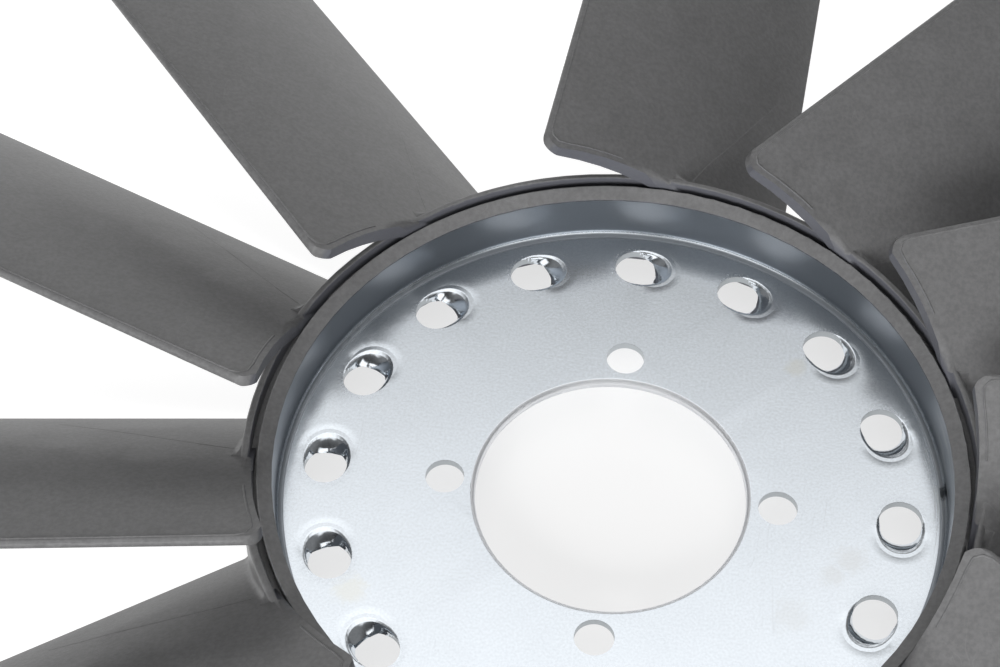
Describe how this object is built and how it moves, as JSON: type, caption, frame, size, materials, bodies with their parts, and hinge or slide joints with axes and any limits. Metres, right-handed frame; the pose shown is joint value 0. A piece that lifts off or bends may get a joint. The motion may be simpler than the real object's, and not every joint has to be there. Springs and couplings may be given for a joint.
{
  "type": "axial fan impeller",
  "caption": "Axial fan impeller: a pressed steel hub dish with vent holes, moulded into a plastic ring with straight pitched blades at uneven angles.",
  "frame": {"origin": "centre of the bolt circle and of the bore, on the front face of the steel disc", "axes": "+Z along the fan axis towards the side that the leading edges are raised to; +X through a bolt hole"},
  "size_m": [0.56, 0.5554, 0.0521],
  "materials": {
    "zinc_plated_steel": "smooth zinc plating with light scuffs",
    "dark_grey_plastic": "matt glass-filled moulding"
  },
  "bodies": {
    "root": {"hub_plate": "zinc_plated_steel", "fan_moulding": "dark_grey_plastic"}
  },
  "joints": []
}
